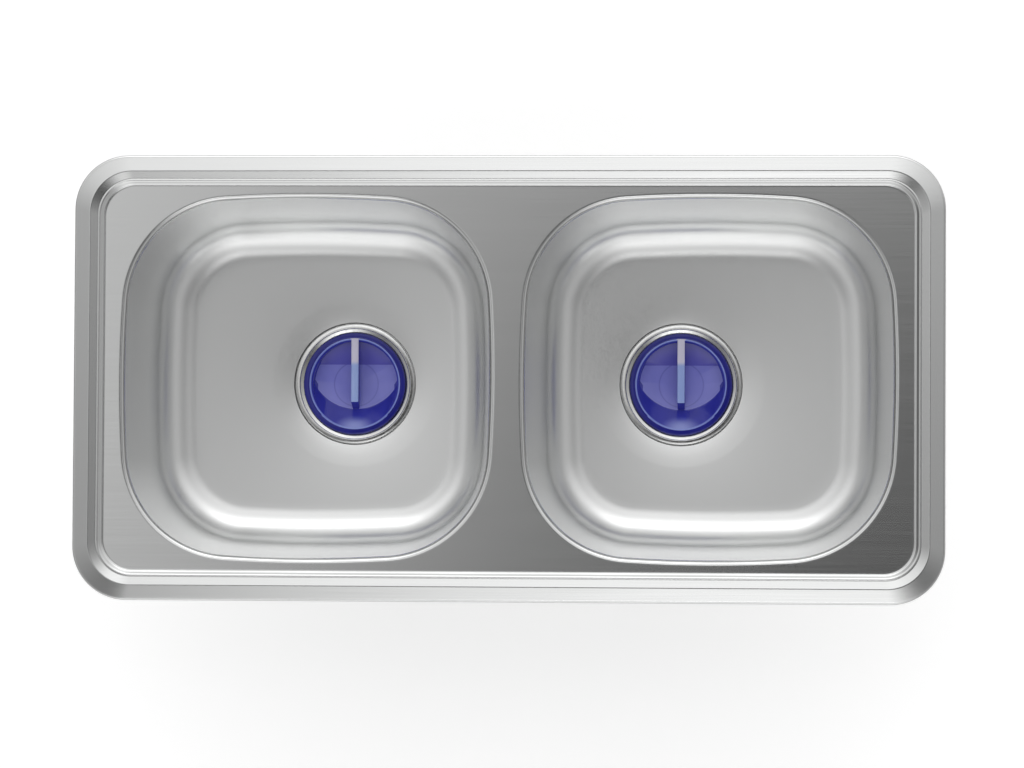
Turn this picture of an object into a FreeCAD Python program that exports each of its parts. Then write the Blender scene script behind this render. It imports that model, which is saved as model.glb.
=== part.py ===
import FreeCAD, Part
import math
import os

from FreeCAD import Vector

# Double bowl drop-in kitchen sink of stainless steel: a pressed deck with a raised rim, two deep
# drawn bowls, a basket waste with a lift-out plug in each, and the rails and clips that hold the
# sink in a worktop. X runs along the sink, -Y is the front and +Z is up. The origin is the centre
# of the worktop's cut-out, level with the worktop's top face. All sizes are in millimetres.

# Bowls, and the deck left round them
BOWL_LENGTH = 346.0
BOWL_WIDTH = 340.0
BOWL_DEPTH = 150.0
BOWL_CORNER = 102.0
BOW_ANGLE = 3.5
LIP_RADIUS = 5.0
LIP_STEPS = 2
DRAFT_ANGLE = 6.0
FOOT_RADIUS = 40.0
FOOT_STEPS = 4
DRAIN_OFFSET = 29.0
DRAIN_HOLE_RADIUS = 45.0
DISH_DEPTH = 6.0
DISH_SLOPE_WIDTH = 14.0
DISH_GAP = 4.0
BRIDGE_WIDTH = 23.0
END_MARGIN = 42.5
FRONT_MARGIN = 35.0

# Deck and raised rim
SHEET = 0.8
OUTER_CORNER = 50.0
DECK_CORNER = 29.0
RIM_HEIGHT = 5.5
EDGE_RADIUS = 2.0
EDGE_STEPS = 3
EDGE_GAP = 0.3
FLANGE_WIDTH = 15.5
FLANGE_FALL = 0.1
SLOPE_WIDTH = 7.0
SLOPE_DROP = 1.2
BEAD_WIDTH = 2.0
BEAD_FALL = 0.1
STEP_WIDTH = 3.0
DECK_HEIGHT = 1.6
DECK_LAND = 1.5

# Waste: steel flange with its strainer cup, rubber gasket, plastic body and clamping screw
WASTE_SHEET = 1.0
WASTE_FLANGE_WIDTH = 12.0
FLANGE_CREST = 4.2
CREST_WIDTH = 3.0
CREST_FALL_WIDTH = 1.5
SEAT_WIDTH = 6.0
CUP_GAP = 1.0
CUP_DEPTH = 38.0
STRAINER_SLOTS = 8
SLOT_WIDTH = 5.0
SLOT_START = 13.0
SLOT_RIM = 7.0
BODY_GASKET = 3.0
BODY_FLANGE_WIDTH = 11.0
BODY_FLANGE_THICKNESS = 4.0
BODY_WALL = 3.0
BODY_CLEARANCE = 2.0
BODY_CHAMBER = 10.0
OUTLET_RADIUS = 23.9
OUTLET_BORE = 20.0
OUTLET_LENGTH = 34.0
BOSS_RADIUS = 7.0
BOSS_LENGTH = 20.0
SPIDER_ARMS = 3
SPIDER_THICKNESS = 3.0
SPIDER_HEIGHT = 12.0
SCREW_RADIUS = 3.0
SCREW_HEAD_RADIUS = 6.0
SCREW_HEAD_HEIGHT = 3.0
SCREW_SLOT = 1.2
SCREW_SPARE = 3.0
THREAD_CLEARANCE = 0.05
HOLE_CLEARANCE = 0.3

# Plug with its finger rib and seal
SEAT_GAP = 0.1
SEAL_THICKNESS = 1.5
SEAL_CUP_GAP = 1.2
SEAL_EDGE_GAP = 0.5
PLUG_EDGE_GAP = 0.5
PLUG_RIM_HEIGHT = 5.4
PLUG_RIM_WIDTH = 5.0
PLUG_FLARE_DEPTH = 4.5
PLUG_WALL = 1.9
PLUG_CLEARANCE = 0.8
POCKET_DEPTH = 15.5
PLUG_FLOOR = 2.5
SCOOP_RADIUS = 50.0
SCOOP_ANGLE = 52.0
POCKET_STEP_Y = 18.7
POCKET_BACK_RISE = 5.0
RIB_WIDTH = 7.0
RIB_DROP = 0.8
RIB_TOP_END = -17.4
RIB_FOOT_END = -23.7
RIB_EDGE_RADIUS = 1.0
HUB_RADIUS = 21.0
HUB_LENGTH = 5.0

# Rim seal and the pads that quieten the bowls
RIM_SEAL_START = 3.5
RIM_SEAL_WIDTH = 8.0
PAD_THICKNESS = 2.5
PAD_LENGTH = 50.0
PAD_WIDTH = 140.0
PAD_DRAIN_GAP = 5.0

# Hook rails under the rim
RAIL_START = 12.8
RAIL_SHEET = 1.2
RAIL_DEPTH = 12.0
RAIL_FOOT = 6.2
RAIL_LIP_HEIGHT = 5.0
RAIL_CORNER_GAP = 80.0

# Clips: bracket on the rail, forked claw on its pin, and the screw that lifts the claw
CLIP_SPREAD = 430.0
CLIP_WIDTH = 16.6
CLIP_SHEET = 1.5
HOOK_GAP = 0.1
HOOK_DROP = 3.2
EAR_REACH = 8.0
EAR_TOP = -26.0
EAR_BOTTOM = -49.0
TAB_HEIGHT = -38.0
TAB_THICKNESS = 2.0
TAB_EDGE = 4.0
PIN_HEIGHT = -44.0
PIN_RADIUS = 2.0
PIN_CLEARANCE = 0.05
PIN_BEHIND_WEB = 3.2
CLAW_GAP = 0.5
CLAW_LENGTH = 21.0
CLAW_THICKNESS = 2.5
CLAW_BARREL = 4.0
CLAW_TOOTH = 2.5
CLAW_TOOTH_WIDTH = 2.5
CLAW_SLOT = 6.2
HANG_ANGLE = 60.0
SCREW_WEB_GAP = 0.4
CLIP_SCREW_RADIUS = 2.5
CLIP_HEAD_RADIUS = 4.5
CLIP_HEAD_HEIGHT = 4.0
HEAD_SIDES = 6
HEAD_GAP = 0.3
CLIP_SCREW_SPARE = 0.6

ORIGIN = Vector(0.0, 0.0, 0.0)
UP = Vector(0.0, 0.0, 1.0)
ACROSS = Vector(0.0, 1.0, 0.0)
SIDES = {"left": -1, "right": 1}


# ---- shared shapes -------------------------------------------------------------------------------


def turned(points, centre_x):
    """A ring turned about a vertical axis from its (radius, height) outline."""
    corners = [Vector(radius, 0.0, height) for radius, height in points]
    face = Part.Face(Part.makePolygon(corners + corners[:1]))
    ring = face.revolve(ORIGIN, UP, 360.0)
    ring.translate(Vector(centre_x, 0.0, 0.0))
    return ring


def block(low, high):
    """A rectangular block between two opposite corners."""
    size = [end - start for start, end in zip(low, high)]
    return Part.makeBox(size[0], size[1], size[2], Vector(*low))


def plate(points, start, end):
    """A flat outline in the XZ plane, given thickness along Y."""
    corners = [Vector(x, start, z) for x, z in points]
    face = Part.Face(Part.makePolygon(corners + corners[:1]))
    return face.extrude(ACROSS * (end - start))


def joined(shapes):
    """Shapes welded into one solid."""
    return shapes[0].multiFuse(shapes[1:]).removeSplitter()


def rounded_rectangle(half_x, half_y, corner, height):
    """A level closed wire with straight sides and round corners, centred on the sink."""
    arcs = []
    for index, (side_x, side_y) in enumerate(((1, 1), (-1, 1), (-1, -1), (1, -1))):
        centre = Vector(side_x * (half_x - corner), side_y * (half_y - corner), height)
        start = 90.0 * index
        arcs.append(Part.makeCircle(corner, centre, UP, start, start + 90.0))
    edges = []
    for arc, following in zip(arcs, arcs[1:] + arcs[:1]):
        edges.append(arc)
        edges.append(Part.makeLine(arc.lastVertex().Point, following.firstVertex().Point))
    return Part.Wire(edges)


def rim_outline(inset, height):
    """The sink's outline, drawn in by an inset; its corners tighten less than its sides move."""
    tightening = (OUTER_CORNER - DECK_CORNER) / RIM_WIDTH
    corner = OUTER_CORNER - tightening * inset
    return rounded_rectangle(SINK_LENGTH / 2 - inset, SINK_WIDTH / 2 - inset, corner, height)


def offset_line(points, distance):
    """A line of (inset, height) points moved to its right, with its corners kept sharp."""
    normals = []
    for (x_0, z_0), (x_1, z_1) in zip(points, points[1:]):
        length = math.hypot(x_1 - x_0, z_1 - z_0)
        normals.append(((z_1 - z_0) / length, (x_0 - x_1) / length))
    moved = []
    for (x, z), before, after in zip(points, normals[:1] + normals, normals + normals[-1:]):
        share = distance / (1.0 + before[0] * after[0] + before[1] * after[1])
        moved.append((x + share * (before[0] + after[0]), z + share * (before[1] + after[1])))
    return moved


# ---- places that several pieces share ------------------------------------------------------------

RIM_WIDTH = FLANGE_WIDTH + SLOPE_WIDTH + BEAD_WIDTH + STEP_WIDTH
FLANGE_UNDERSIDE = RIM_HEIGHT - FLANGE_FALL - SHEET

# The bowls set the sink's size, with the deck that is left round and between them.
SINK_LENGTH = 2 * (BOWL_LENGTH + END_MARGIN) + BRIDGE_WIDTH
SINK_WIDTH = BOWL_WIDTH + 2 * FRONT_MARGIN
BOWL_PITCH = BOWL_LENGTH + BRIDGE_WIDTH

# A bowl's wall starts where the lip ends and runs down, leaning in, to the foot's round.
DRAFT = math.radians(DRAFT_ANGLE)
LIP_CENTRE = DECK_HEIGHT - LIP_RADIUS
WALL_TOP = LIP_CENTRE + LIP_RADIUS * math.sin(DRAFT)
FLOOR_TOP = DECK_HEIGHT - BOWL_DEPTH
FOOT_CENTRE = FLOOR_TOP + FOOT_RADIUS
WALL_FALL = WALL_TOP - FOOT_CENTRE + FOOT_RADIUS * math.sin(DRAFT)
FOOT_INSET = (LIP_RADIUS + FOOT_RADIUS) * math.cos(DRAFT) + WALL_FALL * math.tan(DRAFT)

# The drain hole sets the waste's width: the cup hangs in it, and the flange, the body's flange and
# the bowl's dish lie round it. The plug and its seal follow the cup and its seat.
CUP_RADIUS = DRAIN_HOLE_RADIUS - CUP_GAP - WASTE_SHEET
SEAT_RADIUS = CUP_RADIUS + SEAT_WIDTH
WASTE_FLANGE_RADIUS = DRAIN_HOLE_RADIUS + WASTE_FLANGE_WIDTH
CREST_OUTER_RADIUS = WASTE_FLANGE_RADIUS - CREST_FALL_WIDTH
CREST_INNER_RADIUS = CREST_OUTER_RADIUS - CREST_WIDTH
BODY_FLANGE_RADIUS = DRAIN_HOLE_RADIUS + BODY_FLANGE_WIDTH
DISH_FLOOR_RADIUS = WASTE_FLANGE_RADIUS + DISH_GAP
DISH_RADIUS = DISH_FLOOR_RADIUS + DISH_SLOPE_WIDTH
PLUG_RADIUS = SEAT_RADIUS - PLUG_EDGE_GAP
PLUG_MOUTH_RADIUS = PLUG_RADIUS - PLUG_RIM_WIDTH
SEAL_INNER_RADIUS = CUP_RADIUS + SEAL_CUP_GAP
SEAL_OUTER_RADIUS = PLUG_RADIUS - SEAL_EDGE_GAP

# The waste's heights hang on the level ring round the drain hole.
DRAIN_SEAT = FLOOR_TOP - DISH_DEPTH
PLUG_SEAT = DRAIN_SEAT + WASTE_SHEET
CUP_FLOOR = DRAIN_SEAT - CUP_DEPTH + WASTE_SHEET
BOWL_UNDERSIDE = DRAIN_SEAT - SHEET

# The clip's web hangs just behind the rail's upturned lip.
RAIL_LIP = RAIL_START + RAIL_FOOT
WEB_START = RAIL_LIP + HOOK_GAP
PIN_INSET = WEB_START + CLIP_SHEET + PIN_BEHIND_WEB
SCREW_INSET = WEB_START - SCREW_WEB_GAP - CLIP_SCREW_RADIUS


# ---- bowls ---------------------------------------------------------------------------------------


def bowed_arcs(half_x, half_y, corner):
    """The eight tangent arcs of a rounded rectangle whose sides bow outwards a little.

    Each is (centre x, centre y, radius, start angle, span). A side's arc is longer in radius than
    the corner's by as much as makes both meet at the bow angle.
    """
    sine = math.sin(math.radians(BOW_ANGLE))
    rise = 1.0 - math.cos(math.radians(BOW_ANGLE))
    flat_x = half_x - corner
    flat_y = half_y - corner
    share = sine ** 2 - rise ** 2
    extra_x = (flat_y * sine - flat_x * rise) / share
    extra_y = (flat_x * sine - flat_y * rise) / share
    side_x = flat_x - extra_x
    side_y = flat_y - extra_y
    corner_x = extra_y * sine
    corner_y = extra_x * sine
    quarters = (
        (side_x, 0.0, extra_x, corner_x, corner_y),
        (0.0, side_y, extra_y, -corner_x, corner_y),
        (-side_x, 0.0, extra_x, -corner_x, -corner_y),
        (0.0, -side_y, extra_y, corner_x, -corner_y),
    )
    arcs = []
    for index, (x, y, extra, round_x, round_y) in enumerate(quarters):
        start = 90.0 * index
        arcs.append((x, y, corner + extra, start - BOW_ANGLE, 2.0 * BOW_ANGLE))
        arcs.append((round_x, round_y, corner, start + BOW_ANGLE, 90.0 - 2.0 * BOW_ANGLE))
    return arcs


def bowed_wire(arcs, inset, centre_x, height):
    """A level closed wire of the eight arcs, drawn in by an inset."""
    edges = []
    for x, y, radius, start, span in arcs:
        centre = Vector(centre_x + x, y, height)
        edges.append(Part.makeCircle(radius - inset, centre, UP, start, start + span))
    return Part.Wire(edges)


MOUTH_ARCS = bowed_arcs(BOWL_LENGTH / 2, BOWL_WIDTH / 2, BOWL_CORNER)


def section_round(inset, height, radius, start, end, steps):
    """Points (inset, height) round part of a circle, from one angle to another in even steps."""
    points = []
    for step in range(steps + 1):
        turn = math.radians(start + (end - start) * step / steps)
        points.append((inset + radius * math.cos(turn), height + radius * math.sin(turn)))
    return points


def lip_section():
    """The deck's rolled lip, from the deck's face to the seam with the bowl."""
    face = section_round(0.0, LIP_CENTRE, LIP_RADIUS, 90.0, DRAFT_ANGLE, LIP_STEPS)
    back = section_round(0.0, LIP_CENTRE, LIP_RADIUS - SHEET, DRAFT_ANGLE, 90.0, LIP_STEPS)
    return face + back


def wall_section():
    """A bowl's wall with its foot: straight from the seam, then round to the level floor."""
    seam = lip_section()[LIP_STEPS:LIP_STEPS + 2]
    foot = 180.0 + DRAFT_ANGLE
    face = section_round(FOOT_INSET, FOOT_CENTRE, FOOT_RADIUS, foot, 270.0, FOOT_STEPS)
    back = section_round(FOOT_INSET, FOOT_CENTRE, FOOT_RADIUS + SHEET, 270.0, foot, FOOT_STEPS)
    return seam[:1] + face + back + seam[1:]


def swept_round(section, centre_x):
    """A sheet section carried round a bowl's mouth, one turned piece for each arc."""
    pieces = []
    for x, y, radius, start, span in MOUTH_ARCS:
        corners = [Vector(radius - inset, 0.0, height) for inset, height in section]
        piece = Part.Face(Part.makePolygon(corners + corners[:1])).revolve(ORIGIN, UP, span)
        piece.rotate(ORIGIN, UP, start)
        piece.translate(Vector(centre_x + x, y, 0.0))
        pieces.append(piece)
    return joined(pieces)


def bowl(centre_x, drain_x):
    """A deep drawn bowl: its wall and foot, a level floor, and the dish that its drain sits in."""
    wall = swept_round(wall_section(), centre_x)
    outline = bowed_wire(MOUTH_ARCS, FOOT_INSET, centre_x, FLOOR_TOP - SHEET)
    floor = Part.Face(outline).extrude(UP * SHEET)
    opening = Part.makeCylinder(DISH_RADIUS, SHEET, Vector(drain_x, 0.0, FLOOR_TOP - SHEET))
    face = [
        (DISH_RADIUS, FLOOR_TOP),
        (DISH_FLOOR_RADIUS, DRAIN_SEAT),
        (DRAIN_HOLE_RADIUS, DRAIN_SEAT),
    ]
    back = [(radius, height - SHEET) for radius, height in reversed(face)]
    return joined([wall, floor.cut(opening), turned(face + back, drain_x)])


def sound_pad(drain_x, side):
    """A stiff damping pad stuck under the wide half of a bowl's floor."""
    inner = drain_x + side * (DISH_RADIUS + PAD_DRAIN_GAP)
    outer = inner + side * PAD_LENGTH
    top = FLOOR_TOP - SHEET
    low = (min(inner, outer), -PAD_WIDTH / 2, top - PAD_THICKNESS)
    return block(low, (max(inner, outer), PAD_WIDTH / 2, top))


# ---- deck, rim and what hangs under it -----------------------------------------------------------


def rim_line():
    """The rim's visible section, from its turned-down edge in to the start of the sunk deck."""
    points = [(0.0, EDGE_GAP)]
    for step in range(EDGE_STEPS + 1):
        turn = math.radians(90.0 * step / EDGE_STEPS)
        inset = EDGE_RADIUS * (1.0 - math.cos(turn))
        points.append((inset, RIM_HEIGHT - EDGE_RADIUS * (1.0 - math.sin(turn))))
    bead = RIM_HEIGHT - FLANGE_FALL - SLOPE_DROP
    points.append((FLANGE_WIDTH, RIM_HEIGHT - FLANGE_FALL))
    points.append((FLANGE_WIDTH + SLOPE_WIDTH, bead))
    points.append((FLANGE_WIDTH + SLOPE_WIDTH + BEAD_WIDTH, bead - BEAD_FALL))
    points.append((RIM_WIDTH, DECK_HEIGHT))
    points.append((RIM_WIDTH + DECK_LAND, DECK_HEIGHT))
    return points


def sink_top():
    """The pressed deck: raised rim, sunk deck and a rolled lip round each bowl's mouth."""
    surfaces = []
    for line in (rim_line(), offset_line(rim_line(), SHEET)):
        rings = [rim_outline(inset, height) for inset, height in line[:-1]]
        surfaces.append(Part.makeLoft(rings, True, True))
    deck = surfaces[0].cut(surfaces[1])
    lips = []
    for side in SIDES.values():
        centre_x = side * BOWL_PITCH / 2
        mouth = Part.Face(bowed_wire(MOUTH_ARCS, 0.0, centre_x, -RIM_HEIGHT))
        deck = deck.cut(mouth.extrude(UP * (3 * RIM_HEIGHT)))
        lips.append(swept_round(lip_section(), centre_x))
    return joined([deck] + lips)


def rim_seal():
    """The foam strip between the rim and the worktop."""
    outer = Part.Face(rim_outline(RIM_SEAL_START, 0.0)).extrude(UP * FLANGE_UNDERSIDE)
    inner = Part.Face(rim_outline(RIM_SEAL_START + RIM_SEAL_WIDTH, 0.0))
    return outer.cut(inner.extrude(UP * FLANGE_UNDERSIDE))


def hook_rail(length):
    """A J-section rail whose upturned lip the clips hook on, built with the rim's edge at x = 0."""
    foot = -RAIL_DEPTH
    inner = -RAIL_LIP
    points = [
        (-RAIL_START, FLANGE_UNDERSIDE),
        (-RAIL_START, foot),
        (inner, foot),
        (inner, foot + RAIL_LIP_HEIGHT),
        (inner + RAIL_SHEET, foot + RAIL_LIP_HEIGHT),
        (inner + RAIL_SHEET, foot + RAIL_SHEET),
        (-RAIL_START - RAIL_SHEET, foot + RAIL_SHEET),
        (-RAIL_START - RAIL_SHEET, FLANGE_UNDERSIDE),
    ]
    return plate(points, -length / 2, length / 2)


def clip_bracket():
    """The clip's folded steel bracket: hook, web, threaded tab, and two ears with a riveted pin."""
    half = CLIP_WIDTH / 2
    lip_top = RAIL_LIP_HEIGHT - RAIL_DEPTH
    hook_outer = -(RAIL_LIP - RAIL_SHEET - HOOK_GAP - CLIP_SHEET)
    bridge = lip_top + HOOK_GAP
    web = -WEB_START
    tab_end = -(SCREW_INSET - TAB_EDGE)
    points = [
        (hook_outer, bridge + CLIP_SHEET),
        (hook_outer, lip_top - HOOK_DROP),
        (hook_outer - CLIP_SHEET, lip_top - HOOK_DROP),
        (hook_outer - CLIP_SHEET, bridge),
        (web, bridge),
        (web, TAB_HEIGHT + TAB_THICKNESS),
        (tab_end, TAB_HEIGHT + TAB_THICKNESS),
        (tab_end, TAB_HEIGHT),
        (web - CLIP_SHEET, TAB_HEIGHT),
        (web - CLIP_SHEET, bridge + CLIP_SHEET),
    ]
    strip = plate(points, -half, half)
    ears = []
    for start in (-half, half - CLIP_SHEET):
        low = (web - CLIP_SHEET - EAR_REACH, start, EAR_BOTTOM)
        high = (web, start + CLIP_SHEET, EAR_TOP)
        ears.append(block(low, high))
    pin = Part.makeCylinder(PIN_RADIUS, CLIP_WIDTH, Vector(-PIN_INSET, -half, PIN_HEIGHT), ACROSS)
    hole = Part.makeCylinder(
        CLIP_SCREW_RADIUS + THREAD_CLEARANCE,
        2 * TAB_THICKNESS,
        Vector(-SCREW_INSET, 0.0, TAB_HEIGHT - TAB_THICKNESS / 2),
    )
    return joined([strip, pin] + ears).cut(hole)


def clip_claw():
    """A forked claw hanging on the bracket's pin; its two toothed prongs straddle the screw."""
    half = CLIP_WIDTH / 2 - CLIP_SHEET - CLAW_GAP
    thick = CLAW_THICKNESS / 2
    points = [
        (-CLAW_BARREL, -CLAW_BARREL + thick),
        (-CLAW_BARREL + thick, -CLAW_BARREL),
        (thick, -CLAW_BARREL),
        (CLAW_BARREL, -thick),
        (CLAW_LENGTH, -thick),
        (CLAW_LENGTH, thick + CLAW_TOOTH),
        (CLAW_LENGTH - CLAW_TOOTH_WIDTH, thick),
        (CLAW_BARREL, thick),
        (thick, CLAW_BARREL),
        (-CLAW_BARREL + thick, CLAW_BARREL),
        (-CLAW_BARREL, CLAW_BARREL - thick),
    ]
    claw = plate(points, -half, half)
    bore = Part.makeCylinder(PIN_RADIUS + PIN_CLEARANCE, 2 * half, Vector(0, -half, 0), ACROSS)
    slot_low = (CLAW_BARREL, -CLAW_SLOT / 2, -CLAW_LENGTH)
    slot = block(slot_low, (2 * CLAW_LENGTH, CLAW_SLOT / 2, CLAW_LENGTH))
    claw = claw.cut(bore).cut(slot)
    claw.rotate(ORIGIN, ACROSS, HANG_ANGLE)
    claw.translate(Vector(-PIN_INSET, 0.0, PIN_HEIGHT))
    return claw


def clip_screw():
    """The hexagon-headed screw, wound out as far as the hanging claw needs."""
    hang = math.radians(HANG_ANGLE)
    reach = PIN_INSET - SCREW_INSET + CLIP_HEAD_RADIUS
    claw_low = reach * math.tan(hang) + CLAW_THICKNESS / (2 * math.cos(hang))
    head_top = PIN_HEIGHT - claw_low - HEAD_GAP
    shank_top = TAB_HEIGHT + TAB_THICKNESS + CLIP_SCREW_SPARE
    axis = Vector(-SCREW_INSET, 0.0, 0.0)
    corners = []
    for step in range(HEAD_SIDES):
        turn = math.radians(360.0 * step / HEAD_SIDES)
        corners.append(Vector(math.cos(turn), math.sin(turn), 0.0) * CLIP_HEAD_RADIUS)
    head = Part.Face(Part.makePolygon(corners + corners[:1])).extrude(UP * CLIP_HEAD_HEIGHT)
    head.translate(axis + UP * (head_top - CLIP_HEAD_HEIGHT))
    shank = Part.makeCylinder(CLIP_SCREW_RADIUS, shank_top - head_top, axis + UP * head_top)
    return head.fuse(shank).removeSplitter()


def at_edge(shape, turn, along):
    """A piece built with the rim's edge at x = 0, moved to one side of the sink.

    The turn is that side's direction: 0 is the right, 90 the back, 180 the left, 270 the front.
    """
    half = SINK_LENGTH / 2 if turn in (0, 180) else SINK_WIDTH / 2
    moved = shape.copy()
    moved.translate(Vector(half, along, 0.0))
    moved.rotate(ORIGIN, UP, turn)
    return moved


# ---- wastes --------------------------------------------------------------------------------------


def waste_flange(drain_x):
    """The steel flange with its plug seat and the strainer cup below it, slotted at the bottom."""
    outer = WASTE_FLANGE_RADIUS
    crest = DRAIN_SEAT + FLANGE_CREST
    tip = DRAIN_SEAT + HOLE_CLEARANCE
    hole = SCREW_RADIUS + HOLE_CLEARANCE
    cup_back = CUP_RADIUS + WASTE_SHEET
    shell = turned(
        [
            (hole, CUP_FLOOR),
            (CUP_RADIUS, CUP_FLOOR),
            (CUP_RADIUS, PLUG_SEAT),
            (SEAT_RADIUS, PLUG_SEAT),
            (CREST_INNER_RADIUS, crest),
            (CREST_OUTER_RADIUS, crest),
            (outer, tip),
            (outer - WASTE_SHEET, tip),
            (CREST_OUTER_RADIUS - WASTE_SHEET, crest - WASTE_SHEET),
            (CREST_INNER_RADIUS + WASTE_SHEET / 2, crest - WASTE_SHEET),
            (SEAT_RADIUS + WASTE_SHEET / 2, DRAIN_SEAT),
            (cup_back, DRAIN_SEAT),
            (cup_back, CUP_FLOOR - WASTE_SHEET),
            (hole, CUP_FLOOR - WASTE_SHEET),
        ],
        0.0,
    )
    for index in range(STRAINER_SLOTS):
        slot = block(
            (SLOT_START, -SLOT_WIDTH / 2, CUP_FLOOR - 2 * WASTE_SHEET),
            (CUP_RADIUS - SLOT_RIM, SLOT_WIDTH / 2, CUP_FLOOR + WASTE_SHEET),
        )
        slot.rotate(ORIGIN, UP, 360.0 * index / STRAINER_SLOTS)
        shell = shell.cut(slot)
    shell.translate(Vector(drain_x, 0.0, 0.0))
    return shell


def waste_gasket(drain_x):
    """The rubber ring between a bowl's underside and the waste body."""
    inner = DRAIN_HOLE_RADIUS + HOLE_CLEARANCE
    low = BOWL_UNDERSIDE - BODY_GASKET
    points = [
        (inner, low),
        (BODY_FLANGE_RADIUS, low),
        (BODY_FLANGE_RADIUS, BOWL_UNDERSIDE),
        (inner, BOWL_UNDERSIDE),
    ]
    return turned(points, drain_x)


def waste_body(drain_x):
    """The moulded body that screws up under the bowl and ends in the threaded outlet."""
    top = BOWL_UNDERSIDE - BODY_GASKET
    bore = CUP_RADIUS + WASTE_SHEET + BODY_CLEARANCE
    chamber = CUP_FLOOR - WASTE_SHEET - BODY_CHAMBER
    end = chamber - BODY_WALL - OUTLET_LENGTH
    shell = turned(
        [
            (bore, top),
            (BODY_FLANGE_RADIUS, top),
            (BODY_FLANGE_RADIUS, top - BODY_FLANGE_THICKNESS),
            (bore + BODY_WALL, top - BODY_FLANGE_THICKNESS),
            (bore + BODY_WALL, chamber - BODY_WALL),
            (OUTLET_RADIUS, chamber - BODY_WALL),
            (OUTLET_RADIUS, end),
            (OUTLET_BORE, end),
            (OUTLET_BORE, chamber),
            (bore, chamber),
        ],
        0.0,
    )
    boss_top = CUP_FLOOR - WASTE_SHEET
    boss = Part.makeCylinder(BOSS_RADIUS, BOSS_LENGTH, UP * (boss_top - BOSS_LENGTH))
    arms = []
    for index in range(SPIDER_ARMS):
        arm_low = boss_top - BOSS_LENGTH
        arm = block(
            (0.0, -SPIDER_THICKNESS / 2, arm_low),
            (OUTLET_BORE + BODY_WALL / 2, SPIDER_THICKNESS / 2, arm_low + SPIDER_HEIGHT),
        )
        arm.rotate(ORIGIN, UP, 360.0 * index / SPIDER_ARMS)
        arms.append(arm)
    bore_low = UP * (boss_top - BOSS_LENGTH)
    thread = Part.makeCylinder(SCREW_RADIUS + THREAD_CLEARANCE, BOSS_LENGTH, bore_low)
    body = joined([shell, boss] + arms).cut(thread)
    body.translate(Vector(drain_x, 0.0, 0.0))
    return body


def waste_screw(drain_x):
    """The slotted screw that clamps the flange and the body on the bowl."""
    length = WASTE_SHEET + BOSS_LENGTH + SCREW_SPARE
    head = Part.makeCylinder(SCREW_HEAD_RADIUS, SCREW_HEAD_HEIGHT, UP * CUP_FLOOR)
    shank = Part.makeCylinder(SCREW_RADIUS, length, UP * (CUP_FLOOR - length))
    slot = block(
        (-SCREW_HEAD_RADIUS, -SCREW_SLOT / 2, CUP_FLOOR + SCREW_HEAD_HEIGHT / 2),
        (SCREW_HEAD_RADIUS, SCREW_SLOT / 2, CUP_FLOOR + 2 * SCREW_HEAD_HEIGHT),
    )
    screw = head.fuse(shank).cut(slot)
    screw.translate(Vector(drain_x, 0.0, 0.0))
    return screw


SEAL_LOW = PLUG_SEAT + SEAT_GAP
PLUG_RIM_LOW = SEAL_LOW + SEAL_THICKNESS
PLUG_TOP = PLUG_RIM_LOW + PLUG_RIM_HEIGHT
POCKET_FLOOR = PLUG_TOP - POCKET_DEPTH


def plug_seal(drain_x):
    """The rubber ring under the plug's rim."""
    points = [
        (SEAL_INNER_RADIUS, SEAL_LOW),
        (SEAL_OUTER_RADIUS, SEAL_LOW),
        (SEAL_OUTER_RADIUS, PLUG_RIM_LOW),
        (SEAL_INNER_RADIUS, PLUG_RIM_LOW),
    ]
    return turned(points, drain_x)


def plug_rib():
    """The finger rib across the plug's pocket: level on top, with a sloped front end."""
    top = PLUG_TOP - RIB_DROP
    side = [
        Vector(-RIB_WIDTH / 2, PLUG_MOUTH_RADIUS, top),
        Vector(-RIB_WIDTH / 2, RIB_TOP_END, top),
        Vector(-RIB_WIDTH / 2, RIB_FOOT_END, POCKET_FLOOR),
        Vector(-RIB_WIDTH / 2, PLUG_MOUTH_RADIUS, POCKET_FLOOR),
    ]
    rib = Part.Face(Part.makePolygon(side + side[:1])).extrude(Vector(RIB_WIDTH, 0.0, 0.0))
    back = PLUG_MOUTH_RADIUS - RIB_EDGE_RADIUS
    long_edges = []
    for edge in rib.Edges:
        middle = edge.CenterOfMass
        above = middle.z > POCKET_FLOOR + RIB_EDGE_RADIUS
        if above and middle.y < back and abs(middle.x) > RIB_EDGE_RADIUS:
            long_edges.append(edge)
    return rib.makeFillet(RIB_EDGE_RADIUS, long_edges)


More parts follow.
